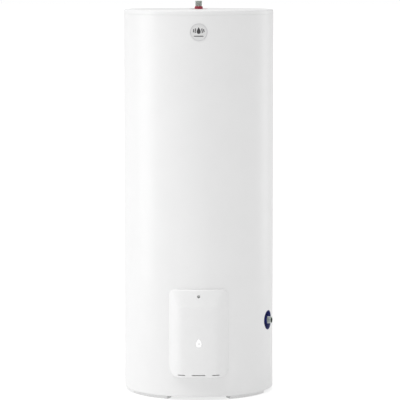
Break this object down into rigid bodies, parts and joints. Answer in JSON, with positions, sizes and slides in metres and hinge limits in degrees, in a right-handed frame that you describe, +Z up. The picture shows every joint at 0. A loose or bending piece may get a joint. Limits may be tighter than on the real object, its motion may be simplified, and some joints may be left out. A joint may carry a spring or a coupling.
{
  "type": "tank water heater",
  "caption": "Tall white cylindrical floor-standing tank water heater with a removable front service cover, top hot outlet and side cold inlet.",
  "frame": {"origin": "on the floor at the middle of the footprint's bounding box; the tank's axis is 13.5 mm behind it", "axes": "+Z up along the tank, -Y out of the front where the service cover is, +X to the right seen from the front"},
  "size_m": [0.575, 0.602, 1.504],
  "materials": {
    "white_paint": "gloss",
    "white_plastic": "satin",
    "galvanised_steel": "satin",
    "black_steel": "matte",
    "red_plastic": "satin",
    "blue_plastic": "satin",
    "foam": "matte",
    "rubber": "matte",
    "ceramic": "matte",
    "brass": "satin",
    "magnesium": "matte",
    "bakelite": "satin",
    "board": "satin",
    "badge": "satin",
    "lamp_white": "gloss",
    "live_brown": "satin",
    "neutral_blue": "satin",
    "earth_green": "satin"
  },
  "bodies": {
    "heater": {"anode_nut": "galvanised_steel", "anode_rod": "magnesium", "base_pan": "white_paint", "bottom_insulation_pad": "foam", "bracket_screw_1": "galvanised_steel", "bracket_screw_2": "galvanised_steel", "cable_grommet": "rubber", "ceramic_element": "ceramic", "circuit_board": "board", "cold_collar": "blue_plastic", "cold_inlet_pipe": "galvanised_steel", "control_bracket": "galvanised_steel", "cover_clip": "galvanised_steel", "earth_screw": "brass", "earth_wire": "earth_green", "element_sheath": "galvanised_steel", "flange_bolt_1": "galvanised_steel", "flange_bolt_2": "galvanised_steel", "flange_bolt_3": "galvanised_steel", "flange_bolt_4": "galvanised_steel", "flange_bolt_5": "galvanised_steel", "flange_bolt_6": "galvanised_steel", "flange_gasket": "rubber", "flange_plate": "galvanised_steel", "foot_bolt_1": "galvanised_steel", "foot_bolt_2": "galvanised_steel", "foot_bolt_3": "galvanised_steel", "foot_bolt_4": "galvanised_steel", "foot_front_left": "white_plastic", "foot_front_right": "white_plastic", "foot_rear_left": "white_plastic", "foot_rear_right": "white_plastic", "hot_collar": "red_plastic", "hot_outlet_pipe": "galvanised_steel", "indicator_lamp": "lamp_white", "inlet_diffuser": "white_plastic", "insulation_foam": "foam", "jacket": "white_paint", "live_element_wire": "live_brown", "live_supply_wire": "live_brown", "neutral_element_wire": "neutral_blue", "neutral_supply_wire": "neutral_blue", "probe_pocket": "galvanised_steel", "recess_liner": "white_plastic", "round_badge": "badge", "support_skirt": "black_steel", "tank_vessel": "black_steel", "terminal_block": "white_plastic", "terminal_screw_1": "brass", "terminal_screw_2": "brass", "terminal_screw_3": "brass", "thermostat_body": "bakelite", "thermostat_probe": "brass", "top_cover": "white_paint"},
    "cover": {"access_cover": "white_plastic", "drop_lens": "lamp_white"},
    "cover_screw_body": {"cover_screw": "galvanised_steel"},
    "dial": {"thermostat_dial": "lamp_white"},
    "reset": {"reset_button": "red_plastic"}
  },
  "joints": [
    {"name": "cover_lift_off", "type": "slide", "parent": "heater", "child": "cover", "axis": [0, -1, 0], "range_m": [0, 0.25]},
    {"name": "cover_screw_turn", "type": "hinge", "parent": "cover", "child": "cover_screw_body", "pos_m": [0, -0.2785, 0.399], "axis": [0, -1, 0], "continuous": true},
    {"name": "thermostat_dial_turn", "type": "hinge", "parent": "heater", "child": "dial", "pos_m": [-0.029, -0.2871, 0.2485], "axis": [0, -1, 0], "range_deg": [-135, 135]},
    {"name": "reset_button_press", "type": "slide", "parent": "heater", "child": "reset", "axis": [0, 1, 0], "range_m": [0, 0.0015], "stiffness_N_per_m": 800}
  ]
}
